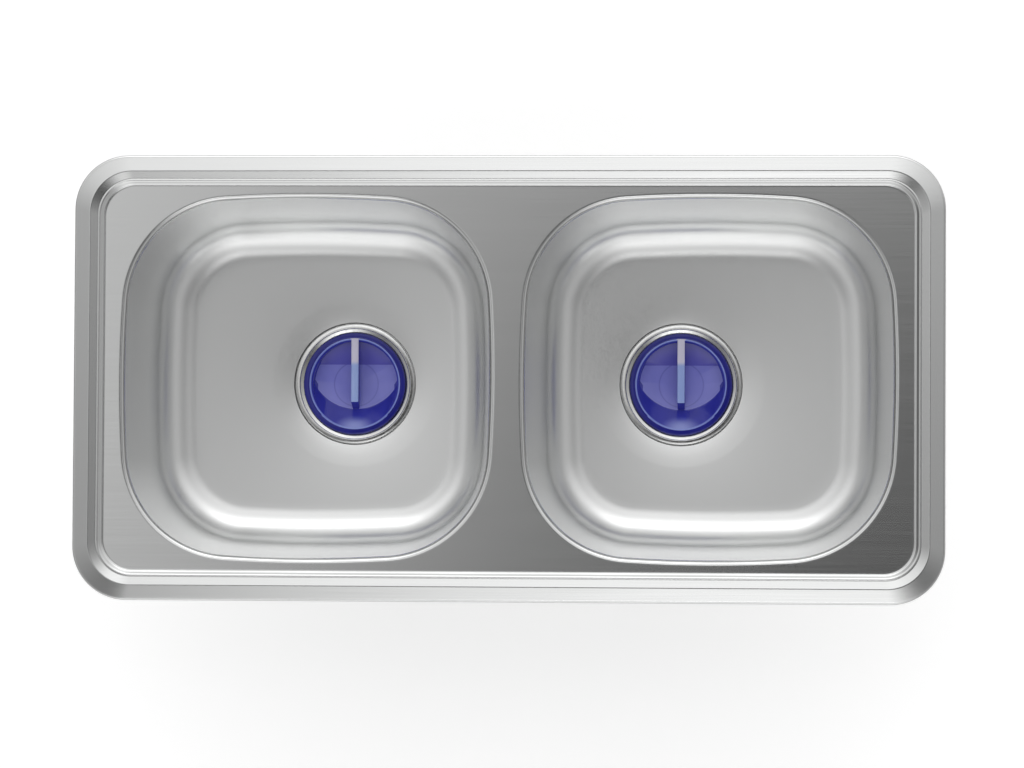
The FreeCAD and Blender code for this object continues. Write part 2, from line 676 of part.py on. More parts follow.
def plug(drain_x):
    """The moulded plug: rim, deep pocket with a slanting front wall, finger rib and hub."""
    cup = CUP_RADIUS - PLUG_CLEARANCE
    pocket = cup - PLUG_WALL
    low = POCKET_FLOOR - PLUG_FLOOR
    solid = turned(
        [
            (0.0, low),
            (cup, low),
            (cup, PLUG_RIM_LOW),
            (PLUG_RADIUS, PLUG_RIM_LOW),
            (PLUG_RADIUS, PLUG_TOP),
            (0.0, PLUG_TOP),
        ],
        0.0,
    )
    hollow = turned(
        [
            (0.0, POCKET_FLOOR),
            (pocket, POCKET_FLOOR),
            (pocket, PLUG_TOP - PLUG_FLARE_DEPTH),
            (PLUG_MOUTH_RADIUS, PLUG_TOP),
            (0.0, PLUG_TOP),
        ],
        0.0,
    )
    lean = math.radians(SCOOP_ANGLE)
    slant = Vector(0.0, -math.sin(lean), math.cos(lean))
    foot = Vector(0.0, RIB_FOOT_END + SCOOP_RADIUS / math.cos(lean), POCKET_FLOOR)
    base = foot - slant * (2 * PLUG_RADIUS)
    scoop = Part.makeCylinder(SCOOP_RADIUS, 4 * PLUG_RADIUS, base, slant)
    hollow = hollow.common(scoop)
    step = [
        Vector(-PLUG_RADIUS, POCKET_STEP_Y, POCKET_FLOOR),
        Vector(-PLUG_RADIUS, PLUG_RADIUS, POCKET_FLOOR),
        Vector(-PLUG_RADIUS, PLUG_RADIUS, POCKET_FLOOR + POCKET_BACK_RISE),
    ]
    rise = Part.Face(Part.makePolygon(step + step[:1])).extrude(Vector(2 * PLUG_RADIUS, 0.0, 0.0))
    hollow = hollow.cut(rise).cut(plug_rib())
    hub = Part.makeCylinder(HUB_RADIUS, HUB_LENGTH, UP * (low - HUB_LENGTH))
    whole = solid.cut(hollow).fuse(hub).removeSplitter()
    whole.translate(Vector(drain_x, 0.0, 0.0))
    return whole


# ---- the pieces, each in its own file ------------------------------------------------------------


def export(name, shape):
    """Writes one piece and says how it came out."""
    solids = shape.Solids
    kept = solids[0] if len(solids) == 1 else Part.makeCompound(solids)
    kept.exportStep("parts/" + name + ".step")
    print(f"{name}: {len(solids)} solid(s), {shape.Volume / 1000:.2f} cm3, valid {kept.isValid()}")


os.makedirs("parts", exist_ok=True)

export("sink_top", sink_top())
export("rim_seal", rim_seal())

long_rail = hook_rail(SINK_LENGTH - 2 * RAIL_CORNER_GAP)
short_rail = hook_rail(SINK_WIDTH - 2 * RAIL_CORNER_GAP)
export("rail_front", at_edge(long_rail, 270, 0.0))
export("rail_back", at_edge(long_rail, 90, 0.0))
export("rail_left", at_edge(short_rail, 180, 0.0))
export("rail_right", at_edge(short_rail, 0, 0.0))

CLIPS = {
    "front_left": (270, -CLIP_SPREAD / 2),
    "front_right": (270, CLIP_SPREAD / 2),
    "back_left": (90, CLIP_SPREAD / 2),
    "back_right": (90, -CLIP_SPREAD / 2),
    "left": (180, 0.0),
    "right": (0, 0.0),
}
brackets = []
for place, (turn, along) in CLIPS.items():
    brackets.append(at_edge(clip_bracket(), turn, along))
    export("clip_claw_" + place, at_edge(clip_claw(), turn, along))
    export("clip_screw_" + place, at_edge(clip_screw(), turn, along))
export("clip_brackets", Part.makeCompound(brackets))

drains = []
for name, side in SIDES.items():
    bowl_x = side * BOWL_PITCH / 2
    drain_x = bowl_x - side * DRAIN_OFFSET
    drains.append(drain_x)
    export("bowl_" + name, bowl(bowl_x, drain_x))
    export("sound_pad_" + name, sound_pad(drain_x, side))
    export("plug_" + name, plug(drain_x))
    export("plug_seal_" + name, plug_seal(drain_x))

WASTE_PIECES = {
    "waste_flanges": waste_flange,
    "waste_gaskets": waste_gasket,
    "waste_bodies": waste_body,
    "waste_screws": waste_screw,
}
for name, piece in WASTE_PIECES.items():
    export(name, Part.makeCompound([piece(drain_x) for drain_x in drains]))
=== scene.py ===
import math

import bmesh
import bpy
from mathutils import Matrix, Vector


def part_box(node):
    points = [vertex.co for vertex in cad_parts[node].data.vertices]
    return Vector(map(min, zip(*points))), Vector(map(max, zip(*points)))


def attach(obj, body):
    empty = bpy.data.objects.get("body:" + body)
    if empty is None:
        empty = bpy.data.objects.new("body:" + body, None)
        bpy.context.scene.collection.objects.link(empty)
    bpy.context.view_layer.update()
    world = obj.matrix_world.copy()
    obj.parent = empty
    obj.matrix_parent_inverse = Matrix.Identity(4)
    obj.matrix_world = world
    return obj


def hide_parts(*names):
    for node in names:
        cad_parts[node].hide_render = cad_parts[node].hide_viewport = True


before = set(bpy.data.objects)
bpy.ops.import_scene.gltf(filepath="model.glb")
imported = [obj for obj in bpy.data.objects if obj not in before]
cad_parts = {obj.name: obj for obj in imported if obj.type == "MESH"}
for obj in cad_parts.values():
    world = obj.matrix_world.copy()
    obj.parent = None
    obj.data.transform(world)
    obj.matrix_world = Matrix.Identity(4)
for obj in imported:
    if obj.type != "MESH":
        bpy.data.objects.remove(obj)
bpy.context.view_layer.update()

# ---- Deck ------------------------------------------------------------------------------------
# The deck is one pressing of 0.8 mm stainless steel: a raised rim that laps over the worktop, a
# sunk field round the bowls, and a lip rolled down into each mouth. It is polished along its
# length, so fine hairlines run from side to side.

mm = 0.001
sheet = 0.8 * mm
bowl_length = 346 * mm
bowl_width = 340 * mm
bowl_corner = 102 * mm
bow = math.radians(3.5)
bowl_x = {"left": -184.5 * mm, "right": 184.5 * mm}
sink_length = 800 * mm
sink_width = 410 * mm
outer_corner = 50 * mm
corner_tightening = 0.764
deck_height = 1.6 * mm
lip_radius = 5 * mm
draft = math.radians(6)
turn = 2 * math.pi
side_steps = 8
corner_steps = 24
merge_gap = 0.01 * mm
fine_gap = 0.002 * mm


def add_line(mesh, points):
    """A chain of edges through (x, z) points in the XZ plane."""
    verts = [mesh.verts.new((x, 0, z)) for x, z in points]
    return verts + [mesh.edges.new(pair) for pair in zip(verts, verts[1:])]


def round_corner(mesh, verts, radius, steps):
    """Rounds the corners of a line or a face at these points."""
    bmesh.ops.bevel(mesh, geom=verts, offset=radius, offset_type="OFFSET", segments=steps,
                    profile=0.5, affect="VERTICES", clamp_overlap=True, material=-1)


def add_material(name, color, metallic, roughness):
    """A material with its Principled shader, and the two, ready for more nodes."""
    material = bpy.data.materials.new(name)
    material.use_nodes = True
    shader = material.node_tree.nodes["Principled BSDF"]
    shader.inputs["Base Color"].default_value = (*color, 1)
    shader.inputs["Metallic"].default_value = metallic
    shader.inputs["Roughness"].default_value = roughness
    return material, shader


def add_grain(material, scale, detail=3.0):
    """Noise on the object's own coordinates, stretched by a scale for each axis."""
    nodes, links = material.node_tree.nodes, material.node_tree.links
    place = nodes.new("ShaderNodeTexCoord")
    stretch = nodes.new("ShaderNodeMapping")
    stretch.inputs["Scale"].default_value = scale
    noise = nodes.new("ShaderNodeTexNoise")
    noise.inputs["Scale"].default_value = 1
    noise.inputs["Detail"].default_value = detail
    links.new(place.outputs["Object"], stretch.inputs["Vector"])
    links.new(stretch.outputs["Vector"], noise.inputs["Vector"])
    return noise.outputs["Fac"]


def vary(material, shader, source, socket, low, high):
    """Lets a noise move one of the shader's numbers between two values."""
    spread = material.node_tree.nodes.new("ShaderNodeMapRange")
    spread.inputs["From Min"].default_value = 0.3
    spread.inputs["From Max"].default_value = 0.7
    spread.inputs["To Min"].default_value = low
    spread.inputs["To Max"].default_value = high
    material.node_tree.links.new(source, spread.inputs["Value"])
    material.node_tree.links.new(spread.outputs["Result"], shader.inputs[socket])


def vary_color(material, shader, source, low, high):
    """Lets a noise move the shader's colour between two tones."""
    ramp = material.node_tree.nodes.new("ShaderNodeValToRGB")
    ramp.color_ramp.elements[0].position = 0.3
    ramp.color_ramp.elements[1].position = 0.7
    ramp.color_ramp.elements[0].color = (*low, 1)
    ramp.color_ramp.elements[1].color = (*high, 1)
    material.node_tree.links.new(source, ramp.inputs["Fac"])
    material.node_tree.links.new(ramp.outputs["Color"], shader.inputs["Base Color"])


def emboss(material, shader, source, strength, depth):
    """Turns a noise into a fine relief."""
    bump = material.node_tree.nodes.new("ShaderNodeBump")
    bump.inputs["Strength"].default_value = strength
    bump.inputs["Distance"].default_value = depth
    material.node_tree.links.new(source, bump.inputs["Height"])
    material.node_tree.links.new(bump.outputs["Normal"], shader.inputs["Normal"])


def finish_piece(name, mesh, material, body, nodes=(), crease=32):
    """Makes a bmesh the visible piece that rides on a body and stands for CAD nodes."""
    for edge in mesh.edges:
        edge.smooth = len(edge.link_faces) == 2 and edge.calc_face_angle() < math.radians(crease)
    for face in mesh.faces:
        face.smooth = True
    data = bpy.data.meshes.new(name)
    mesh.to_mesh(data)
    mesh.free()
    data.materials.append(material)
    piece = bpy.data.objects.new(name, data)
    bpy.context.scene.collection.objects.link(piece)
    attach(piece, body)
    if nodes:
        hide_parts(*nodes)
    return piece


def soft_section(corners, steps=4):
    """The points of a line through (x, z, rounding) corners, each rounded off by its own length."""
    line = bmesh.new()
    verts = [line.verts.new((x, 0, z)) for x, z, rounding in corners]
    for pair in zip(verts, verts[1:]):
        line.edges.new(pair)
    for vert, (x, z, rounding) in zip(verts, corners):
        if rounding:
            round_corner(line, [vert], rounding, steps)
    vert, edge, points = verts[0], None, []
    while vert:
        points.append((vert.co.x, vert.co.z))
        edge = next((other for other in vert.link_edges if other is not edge), None)
        vert = edge.other_vert(vert) if edge else None
    line.free()
    return points


def rim_ring(mesh, inset, height):
    """A level ring of edges along the rim; its corners tighten less than its sides move in."""
    size = Matrix.Diagonal((sink_length / 2 - inset, sink_width / 2 - inset, 1, 1))
    place = Matrix.Translation((0, 0, height)) @ size
    corners = bmesh.ops.create_grid(mesh, x_segments=1, y_segments=1, size=1, matrix=place)
    radius = outer_corner - corner_tightening * inset
    round_corner(mesh, corners["verts"], radius, corner_steps)
    face = next(iter(mesh.faces))
    ring = list(face.edges)
    mesh.faces.remove(face)
    return ring


def mouth_arcs():
    """A bowl's mouth as eight tangent arcs: centre, radius, first angle, span and steps of each."""
    sine, rise = math.sin(bow), 1 - math.cos(bow)
    flat_x, flat_y = bowl_length / 2 - bowl_corner, bowl_width / 2 - bowl_corner
    extra_x = (flat_y * sine - flat_x * rise) / (sine ** 2 - rise ** 2)
    extra_y = (flat_x * sine - flat_y * rise) / (sine ** 2 - rise ** 2)
    arcs = []
    for quarter in range(4):
        out, extra = (flat_y - extra_y, extra_y) if quarter % 2 else (flat_x - extra_x, extra_x)
        first = turn / 4 * quarter
        centre = Matrix.Rotation(first, 2) @ Vector((out, 0))
        arcs.append((centre, bowl_corner + extra, first - bow, 2 * bow, side_steps))
        sign_x = 1 if quarter in (0, 3) else -1
        sign_y = 1 if quarter in (0, 1) else -1
        centre = Vector((sign_x * extra_y * sine, sign_y * extra_x * sine))
        arcs.append((centre, bowl_corner, first + bow, turn / 4 - 2 * bow, corner_steps))
    return arcs


def carry_round(mesh, section, centre_x):
    """Carries a section of (inset, height) points round a bowl's mouth, one spin to each arc."""
    for centre, radius, first, span, steps in mouth_arcs():
        line = add_line(mesh, [(radius - inset, height) for inset, height in section])
        verts = [part for part in line if isinstance(part, bmesh.types.BMVert)]
        place = Matrix.Translation((centre_x + centre.x, centre.y, 0))
        bmesh.ops.transform(mesh, matrix=place @ Matrix.Rotation(first, 4, "Z"), verts=verts)
        bmesh.ops.spin(mesh, geom=line, cent=place.translation, axis=(0, 0, 1), dvec=(0, 0, 0),
                       angle=span, steps=steps, use_merge=False, use_normal_flip=False,
                       use_duplicate=False)
    bmesh.ops.remove_doubles(mesh, verts=mesh.verts, dist=merge_gap)


def arc_points(inset, height, radius, first, last, steps):
    """Points (inset, height) along part of a circle."""
    angles = [first + (last - first) * step / steps for step in range(steps + 1)]
    return [(inset + radius * math.cos(a), height + radius * math.sin(a)) for a in angles]


def level_edge(mesh, height):
    """The open edges of a mesh that lie at one height."""
    return [edge for edge in mesh.edges if edge.is_boundary and all(
        abs(vert.co.z - height) < merge_gap for vert in edge.verts)]


# From the rim's edge inwards: up to the crown, down, over the narrow bead, and down to the field.
# The points with no rounding keep the faces between the bends flat to the eye.
rim_section = soft_section([
    (0, 0.3 * mm, 0),
    (0, 3.6 * mm, 2 * mm),
    (2.9 * mm, 3.977 * mm, 0),
    (13.7 * mm, 5.383 * mm, 0),
    (14.6 * mm, 5.5 * mm, 0.5 * mm),
    (15.5 * mm, 5.332 * mm, 0),
    (21.3 * mm, 4.249 * mm, 0),
    (22.1 * mm, 4.1 * mm, 0.4 * mm),
    (23.1 * mm, 4.48 * mm, 0.45 * mm),
    (24.4 * mm, 4.1 * mm, 0.5 * mm),
    (27.3 * mm, deck_height, 1.2 * mm),
    (29.5 * mm, deck_height, 0),
])
deck = bmesh.new()
stack_step = 10 * mm
rings = [rim_ring(deck, inset, stack_step * level)
         for level, (inset, height) in enumerate(rim_section)]
for outer, inner in zip(rings, rings[1:]):
    bmesh.ops.bridge_loops(deck, edges=outer + inner)
for level, (ring, (inset, height)) in enumerate(zip(rings, rim_section)):
    verts = {vert for edge in ring for vert in edge.verts}
    bmesh.ops.translate(deck, vec=(0, 0, height - stack_step * level), verts=list(verts))
lip = arc_points(0, deck_height - lip_radius, lip_radius, turn / 4, draft, 10)
for centre_x in bowl_x.values():
    carry_round(deck, [(-1 * mm, deck_height)] + lip, centre_x)
field_edge = level_edge(deck, deck_height)
bmesh.ops.triangle_fill(deck, use_beauty=True, use_dissolve=False, edges=field_edge)
bmesh.ops.recalc_face_normals(deck, faces=deck.faces)
bmesh.ops.solidify(deck, geom=deck.faces[:], thickness=sheet)

polished_steel, shader = add_material("polished_steel", (0.72, 0.725, 0.722), 1.0, 0.2)
hairlines = add_grain(polished_steel, (9, 1400, 1400))
vary(polished_steel, shader, hairlines, "Roughness", 0.17, 0.2)
emboss(polished_steel, shader, hairlines, 0.03, 0.005 * mm)
finish_piece("deck", deck, polished_steel, "root", ["sink_top"])

# ---- Bowls -----------------------------------------------------------------------------------
# Each bowl is drawn from 0.8 mm steel and welded in under its lip. The walls lean in, turn into
# the floor through a wide round, and the floor dishes down to the waste. The finish is satin
# inside, and the duller skin that the steel came with is left on the outside.

foot_radius = 34 * mm
foot_steps = 20
floor_height = -148.4 * mm
foot_height = floor_height + foot_radius
foot_inset = 50.88 * mm
drain_x = {"left": -155.5 * mm, "right": 155.5 * mm}
dish_radius = 80 * mm
dish_length = 21.6 * mm
dish_steps = 16
seat_radius = 57.5 * mm
seat_height = -154.4 * mm
drain_hole = 46 * mm
floor_slope = 0.038
dish_roll = 15 * mm

satin_steel, shader = add_material("satin_steel", (0.815, 0.82, 0.817), 1.0, 0.3)
satin_grain = add_grain(satin_steel, (420, 420, 420), 5)
vary(satin_steel, shader, satin_grain, "Roughness", 0.28, 0.33)
drawing_marks = add_grain(satin_steel, (35, 35, 35), 1)
emboss(satin_steel, shader, drawing_marks, 0.1, 0.05 * mm)
mill_steel, shader = add_material("mill_steel", (0.5, 0.5, 0.495), 1.0, 0.42)
mill_skin = add_grain(mill_steel, (140, 140, 140), 5)
vary_color(mill_steel, shader, mill_skin, (0.47, 0.47, 0.465), (0.54, 0.54, 0.535))
vary(mill_steel, shader, mill_skin, "Roughness", 0.36, 0.46)


def spin_section(mesh, points, centre_x, steps=128):
    """Turns a section of (radius, height) points full circle about an upright axis."""
    line = add_line(mesh, points)
    bmesh.ops.spin(mesh, geom=line, cent=(0, 0, 0), axis=(0, 0, 1), dvec=(0, 0, 0), angle=turn,
                   steps=steps, use_merge=True, use_normal_flip=False, use_duplicate=False)
    bmesh.ops.remove_doubles(mesh, verts=mesh.verts, dist=fine_gap)
    bmesh.ops.translate(mesh, vec=(centre_x, 0, 0), verts=mesh.verts)


def floor_rise(point, drain):
    """How far the floor stands above the dish's edge, so that water runs to the drain."""
    beyond = max(math.hypot(point.x - drain, point.y) - dish_radius, 0)
    return floor_slope * beyond + 0.2 * mm * (1 - math.exp(-beyond / dish_roll))


def face_up(mesh):
    """Turns all the faces of an open shell to the side that is seen from above."""
    bmesh.ops.recalc_face_normals(mesh, faces=mesh.faces)
    if sum(face.normal.z * face.calc_area() for face in mesh.faces) < 0:
        bmesh.ops.reverse_faces(mesh, faces=mesh.faces)


for side, centre_x in bowl_x.items():
    bowl = bmesh.new()
    drain = drain_x[side]
    dish = [(dish_radius, floor_height - 0.02 * mm)]
    for step in range(1, dish_steps + 1):
        share = step / dish_steps
        fall = (1.4 + 0.4 * share ** 2) * share * mm
        dish.append((dish_radius - dish_length * share, floor_height - fall))
    dish += [
        (seat_radius + 0.5 * mm, floor_height - 3.2 * mm),
        (seat_radius, seat_height),
        (drain_hole, seat_height),
    ]
    spin_section(bowl, dish, drain)
    floor_edge = [edge for edge in bowl.edges if edge.is_boundary and
                  edge.verts[0].co.z > seat_height + 1 * mm]
    lip_end = arc_points(0, deck_height - lip_radius, lip_radius, draft, draft, 1)[:1]
    foot = arc_points(foot_inset, foot_height, foot_radius, turn / 2 + draft, turn * 3 / 4,
                      foot_steps)
    carry_round(bowl, lip_end + foot, centre_x)
    foot_edge = level_edge(bowl, floor_height)
    bottom = bmesh.ops.bridge_loops(bowl, edges=floor_edge + foot_edge)
    bmesh.ops.subdivide_edges(bowl, edges=bottom["edges"], cuts=7, use_grid_fill=True)
    for vert in bowl.verts:
        if vert.co.z < foot_height:
            low = 1 - max(vert.co.z - floor_height, 0) / foot_radius
            vert.co.z += floor_rise(vert.co, drain) * low ** 2
    face_up(bowl)
    bmesh.ops.solidify(bowl, geom=bowl.faces[:], thickness=sheet)
    for face in bowl.faces:
        face.material_index = int(face.normal.z < 0)
    shell = finish_piece("bowl_shell_" + side, bowl, satin_steel, "root",
                         ["bowl_" + side])
    shell.data.materials.append(mill_steel)

# ---- Wastes ----------------------------------------------------------------------------------
# The steel flange of each waste sits in the dish: a rolled outer edge, a flat seat that the plug
# seals on, and a deep cup whose bottom is slotted to hold scraps back. It is spun and polished.

cup_radius = 43 * mm
cup_bottom = -191.4 * mm
slot_count = 8
slot_width = 5 * mm
slot_start, slot_end = 12.5 * mm, 36.5 * mm
screw_hole = 3.3 * mm


def add_circle(mesh, radius, height, steps=128):
    """A level circle of edges about the upright axis."""
    place = Matrix.Translation((0, 0, height))
    verts = bmesh.ops.create_circle(mesh, cap_ends=False, radius=radius, segments=steps,
                                    matrix=place)["verts"]
    return {edge for vert in verts for edge in vert.link_edges}


spun_steel, shader = add_material("spun_steel", (0.74, 0.743, 0.74), 1.0, 0.16)
spin_marks = add_grain(spun_steel, (300, 300, 300), 4)
vary(spun_steel, shader, spin_marks, "Roughness", 0.12, 0.2)

flange_section = soft_section([
    (57 * mm, -154.2 * mm, 0),
    (57 * mm, -150.4 * mm, 0.8 * mm),
    (53 * mm, -150.1 * mm, 0.35 * mm),
    (52.4 * mm, -150.75 * mm, 0.3 * mm),
    (49 * mm, -151.15 * mm, 0.25 * mm),
    (48.75 * mm, -153.4 * mm, 0.25 * mm),
    (cup_radius, -153.4 * mm, 0.8 * mm),
    (cup_radius, cup_bottom, 2.5 * mm),
    (slot_end, cup_bottom, 0),
], 5)
for side, centre_x in drain_x.items():
    waste = bmesh.new()
    edges = add_circle(waste, slot_end, cup_bottom) | add_circle(waste, slot_start, cup_bottom)
    for index in range(slot_count):
        span = slot_end - slot_start - 1.2 * mm
        size = Matrix.Diagonal((span / 2, slot_width / 2, 1, 1))
        place = Matrix.Translation(((slot_start + slot_end) / 2, 0, cup_bottom))
        turned = Matrix.Rotation(turn * index / slot_count, 4, "Z") @ place @ size
        corners = bmesh.ops.create_grid(waste, x_segments=1, y_segments=1, size=1, matrix=turned)
        round_corner(waste, corners["verts"], 2.2 * mm, 5)
        face = next(iter(waste.faces))
        edges |= set(face.edges)
        waste.faces.remove(face)
    bmesh.ops.triangle_fill(waste, use_beauty=True, use_dissolve=False, edges=list(edges))
    spin_section(waste, flange_section, 0)
    spin_section(waste, [(slot_start, cup_bottom), (screw_hole, cup_bottom)], 0)
    bmesh.ops.remove_doubles(waste, verts=waste.verts, dist=merge_gap)
    face_up(waste)
    bmesh.ops.solidify(waste, geom=waste.faces[:], thickness=1 * mm)
    bmesh.ops.translate(waste, vec=(centre_x, 0, 0), verts=waste.verts)
    finish_piece("waste_flange_" + side, waste, spun_steel, "root",
                 ["waste_flanges"] if side == "left" else [])

# ---- Plugs -----------------------------------------------------------------------------------
# Each plug is moulded in glossy translucent blue plastic: a thick rim, a pocket with a slanting
# front wall, and a rib across it to lift the plug by. Its paler floor, rib, walls and edge lines
# are painted light and highlights, in lit copies of the blue.

plug_top = -146.4 * mm
plug_floor = -161.9 * mm
plug_underside = -164.4 * mm
hub_bottom = -169.4 * mm
rim_under = -151.8 * mm
plug_radius = 48.5 * mm
skirt_radius = 42.2 * mm
hub_radius = 21 * mm
pocket_radius = 40.3 * mm
mouth_edge = 42.8 * mm
pocket_mouth = 44.6 * mm
above_plug = -140 * mm
scoop_radius = 45 * mm
scoop_foot = -23.7 * mm
scoop_sink = 0.9 * mm
scoop_band = (9.6 * mm, 1.8 * mm)
scoop_round = (1.6 * mm, 0.8 * mm)
scoop_wall = (31.6 * mm, 24 * mm)
step_start = 18.7 * mm
step_tilt = math.radians(9)
rib_width = 7 * mm
rib_top = plug_top - 0.8 * mm
rib_front = (0, -17.4 * mm, rib_top)
rib_front_slope = (0, -14.7, 6.3)
glow_front = 41 * mm
glow_spread = 0.55


def carve(body, tool, operation):
    """Cuts, joins or crosses two closed meshes and returns the result as one."""
    objects = []
    for shape in (body, tool):
        data = bpy.data.meshes.new("carving")
        shape.to_mesh(data)
        shape.free()
        objects.append(bpy.data.objects.new("carving", data))
        bpy.context.scene.collection.objects.link(objects[-1])
    modifier = objects[0].modifiers.new("carve", "BOOLEAN")
    modifier.operation = operation
    modifier.solver = "EXACT"
    modifier.object = objects[1]
    result = bmesh.new()
    result.from_object(objects[0], bpy.context.evaluated_depsgraph_get())
    for item in objects:
        bpy.data.meshes.remove(item.data)
    return result


def solid_spin(corners, steps=128, softness=4):
    """A closed solid turned from an outline that starts and ends on the axis."""
    solid = bmesh.new()
    spin_section(solid, soft_section(corners, softness), 0, steps)
    bmesh.ops.remove_doubles(solid, verts=solid.verts, dist=merge_gap)
    bmesh.ops.recalc_face_normals(solid, faces=solid.faces)
    return solid


def scoop_solid():
    """The pocket's round front: a gentle band round the floor, then the slanting front wall."""
    scoop = bmesh.new()
    bmesh.ops.create_circle(scoop, cap_ends=True, radius=scoop_radius, segments=192)
    behind = [vert for vert in scoop.verts if vert.co.y > 0]
    bmesh.ops.translate(scoop, vec=(0, 100 * mm, 0), verts=behind)
    place = (0, scoop_foot + scoop_radius + scoop_band[0], plug_floor - scoop_sink)
    bmesh.ops.translate(scoop, vec=place, verts=scoop.verts)
    section = scoop.faces[:]
    for forward, up in (scoop_band, scoop_round, scoop_wall):
        raised = bmesh.ops.extrude_face_region(scoop, geom=section, use_keep_orig=True)["geom"]
        section = [item for item in raised if isinstance(item, bmesh.types.BMFace)]
        verts = [item for item in raised if isinstance(item, bmesh.types.BMVert)]
        bmesh.ops.translate(scoop, vec=(0, -forward, up), verts=verts)
    inner = [face for face in scoop.faces if abs(face.normal.z) > 0.999]
    inner.sort(key=lambda face: face.calc_center_median().z)
    bmesh.ops.delete(scoop, geom=inner[1:-1], context="FACES_ONLY")
    bmesh.ops.recalc_face_normals(scoop, faces=scoop.faces)
    return scoop


def add_block(low, high):
    """A closed block between two corners."""
    block = bmesh.new()
    size = Matrix.Diagonal((*(b - a for a, b in zip(low, high)), 1))
    place = Matrix.Translation([(a + b) / 2 for a, b in zip(low, high)])
    bmesh.ops.create_cube(block, size=1, matrix=place @ size)
    return block


def ease_edges(mesh, edges, width, steps=2):
    """Rounds edges by a width."""
    bmesh.ops.bevel(mesh, geom=edges, offset=width, offset_type="OFFSET", segments=steps,
                    profile=0.5, affect="EDGES", clamp_overlap=True, material=-1)


def blue_moulding(name, low, high):
    """The plug's glossy blue plastic in one tone; its lighter copies carry painted light."""
    material, shader = add_material(name, high, 0.0, 0.1)
    shader.inputs["IOR"].default_value = 1.49
    shader.inputs["Specular IOR Level"].default_value = 0.36
    shader.inputs["Coat Weight"].default_value = 0.12
    shader.inputs["Coat Roughness"].default_value = 0.03
    flow = add_grain(material, (60, 25, 60), 2)
    vary_color(material, shader, flow, low, high)
    vary(material, shader, flow, "Roughness", 0.08, 0.16)
    return material


blue_plastic = blue_moulding("blue_plastic", (0.018, 0.019, 0.24), (0.026, 0.028, 0.3))
# The wall, floor, step, rib and edge copies are the one blue, lit: painted light on the walls, step
# and rib, a painted sheen on the floor and painted highlights on the edge.
blue_wall_painted_light = blue_moulding("blue_plastic_wall_painted_light", (0.04, 0.045, 0.42), (0.05, 0.056, 0.48))
blue_floor_painted_sheen = blue_moulding("blue_plastic_floor_painted_sheen", (0.25, 0.26, 0.74), (0.28, 0.29, 0.8))
blue_step_painted_light = blue_moulding("blue_plastic_step_painted_light", (0.13, 0.125, 0.54), (0.145, 0.14, 0.6))
blue_rib_painted_light = blue_moulding("blue_plastic_rib_painted_light", (0.36, 0.48, 0.92), (0.42, 0.54, 0.96))
blue_edge_painted_highlight = blue_moulding("blue_plastic_edge_painted_highlight", (0.26, 0.33, 0.84), (0.34, 0.42, 0.92))
blue_tones = [blue_plastic, blue_wall_painted_light, blue_floor_painted_sheen, blue_step_painted_light, blue_rib_painted_light, blue_edge_painted_highlight]


def paint_light_by_place(material, measure, low, high, shade, amount):
    """Paints light or shade into a plastic: tints it towards a shade where a measure of its place
    runs from low to high.
    """
    nodes, links = material.node_tree.nodes, material.node_tree.links
    base = nodes["Principled BSDF"].inputs["Base Color"]
    place = nodes.new("ShaderNodeTexCoord")
    axes = nodes.new("ShaderNodeSeparateXYZ")
    links.new(place.outputs["Object"], axes.inputs["Vector"])
    value = measure(material, axes)
    spread = nodes.new("ShaderNodeMapRange")
    spread.interpolation_type = "SMOOTHSTEP"
    for name, number in (("From Min", low), ("From Max", high), ("To Min", 0), ("To Max", amount)):
        spread.inputs[name].default_value = number
    links.new(value, spread.inputs["Value"])
    mix = nodes.new("ShaderNodeMix")
    mix.data_type = "RGBA"
    plain, tinted = [socket for socket in mix.inputs if socket.type == "RGBA"]
    tinted.default_value = (*shade, 1)
    links.new(base.links[0].from_socket, plain)
    links.new(spread.outputs["Result"], mix.inputs["Factor"])
    links.new([socket for socket in mix.outputs if socket.type == "RGBA"][0], base)


def math_node(owner, operation, *values):
    """A Math node of a material or a world, on sockets or plain numbers, and its result."""
    node = owner.node_tree.nodes.new("ShaderNodeMath")
    node.operation = operation
    for socket, value in zip(node.inputs, values):
        if isinstance(value, (int, float)):
            socket.default_value = value
        else:
            owner.node_tree.links.new(value, socket)
    return node.outputs["Value"]


def off_axis(material, axes):
    """How far to the side of its drain's axis a point lies, in either bowl."""
    sideways = math_node(material, "ABSOLUTE", axes.outputs["X"])
    return math_node(material, "SUBTRACT", sideways, drain_x["right"])


def combined(material, *lengths):
    """The distance that two lengths at right angles make."""
    squares = [math_node(material, "MULTIPLY", length, length) for length in lengths]
    return math_node(material, "SQRT", math_node(material, "ADD", *squares))


def off_circle(material, axes, radius):
    """How far a point lies from a circle round its drain."""
    distance = combined(material, off_axis(material, axes), axes.outputs["Y"])
    return math_node(material, "ABSOLUTE", math_node(material, "SUBTRACT", distance, radius))


def from_back(material, axes):
    """How far back a point lies."""
    return axes.outputs["Y"]


def off_hub_edge(material, axes):
    """How far a point of the plug's floor lies from the edge of the hub below it."""
    return off_circle(material, axes, hub_radius)


def off_mouth_edge(material, axes):
    """How far a point of the slanting wall lies from the pocket's thin upper edge."""
    return off_circle(material, axes, mouth_edge)


def off_painted_glow(material, axes):
    """How far a point lies from the slanting wall's thin front, where a glow is painted."""
    across = math_node(material, "MULTIPLY", off_axis(material, axes), glow_spread)
    return combined(material, across, math_node(material, "ADD", axes.outputs["Y"], glow_front))


# Painted light: the rib turns pale lavender towards its back end.
paint_light_by_place(blue_rib_painted_light, from_back, 17 * mm, 22 * mm, (0.8, 0.77, 0.96), 1)
# Painted shade: a darker ring on the floor over the edge of the hub below.
paint_light_by_place(blue_floor_painted_sheen, off_hub_edge, 1.1 * mm, 0, (0.17, 0.17, 0.6), 0.7)
